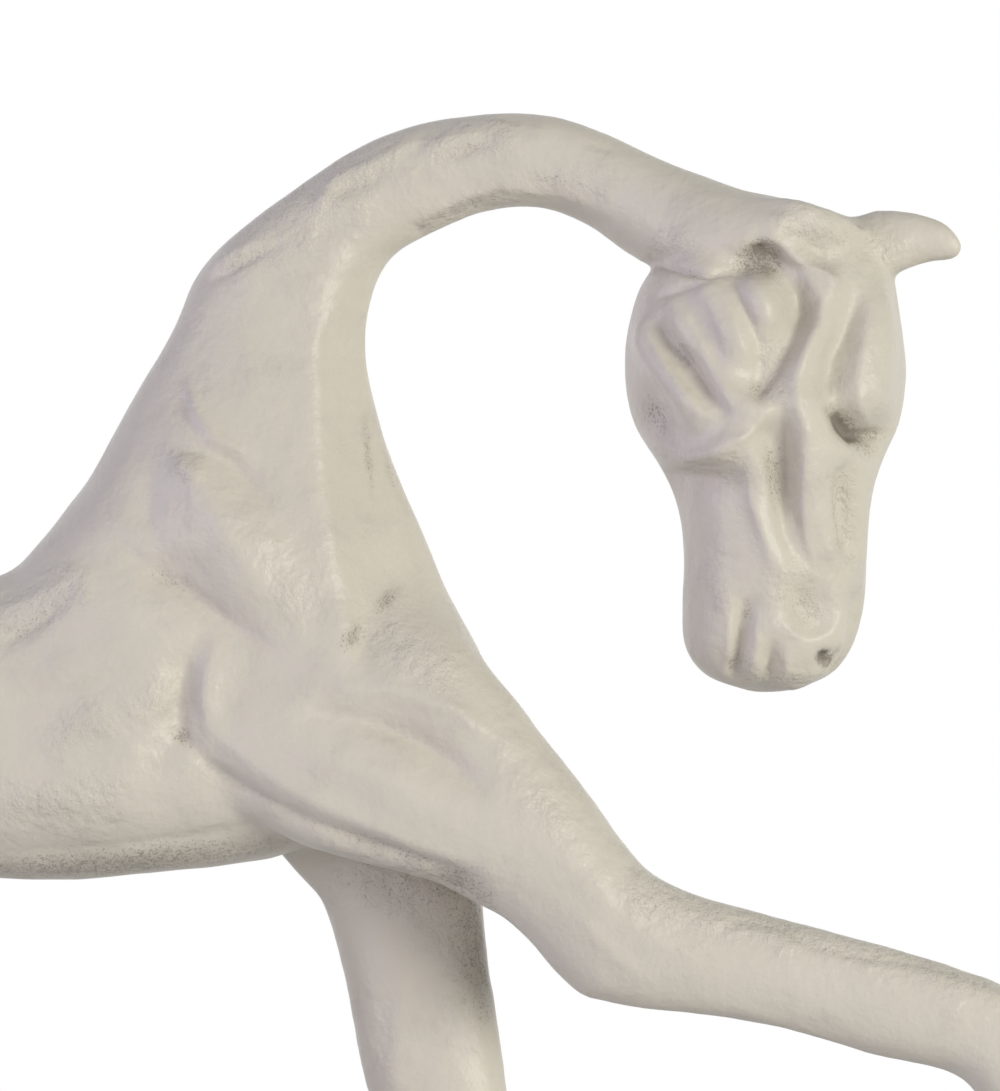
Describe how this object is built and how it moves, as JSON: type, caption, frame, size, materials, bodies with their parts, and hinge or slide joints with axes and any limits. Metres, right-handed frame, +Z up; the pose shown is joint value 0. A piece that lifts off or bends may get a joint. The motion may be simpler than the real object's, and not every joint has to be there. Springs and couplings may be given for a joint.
{
  "type": "horse figurine",
  "caption": "Prancing horse ornament of painted cast aluminium, with an arched neck, a bowed head turned to its right, a raised foreleg and a hanging tail; it stands on its hooves.",
  "frame": {"origin": "on the floor plane of the soles, at the middle of the figure's length and width", "axes": "+X from tail to raised knee, +Y to the horse's left, +Z up"},
  "size_m": [0.3001, 0.058, 0.24],
  "materials": {
    "casting": "matte off-white paint over a sand-cast skin",
    "rod": "plain drawn rod"
  },
  "bodies": {
    "root": {"torso": "casting", "neck": "casting", "head": "casting", "left_ear": "casting", "right_ear": "casting", "right_foreleg": "casting", "left_foreleg": "casting", "right_hind_leg": "casting", "left_hind_leg": "casting", "tail": "casting", "neck_dowel": "rod", "head_dowel": "rod", "left_ear_pin": "rod", "right_ear_pin": "rod", "right_foreleg_dowel": "rod", "left_foreleg_dowel": "rod", "right_hind_dowel": "rod", "left_hind_dowel": "rod", "tail_pin": "rod"}
  },
  "joints": []
}
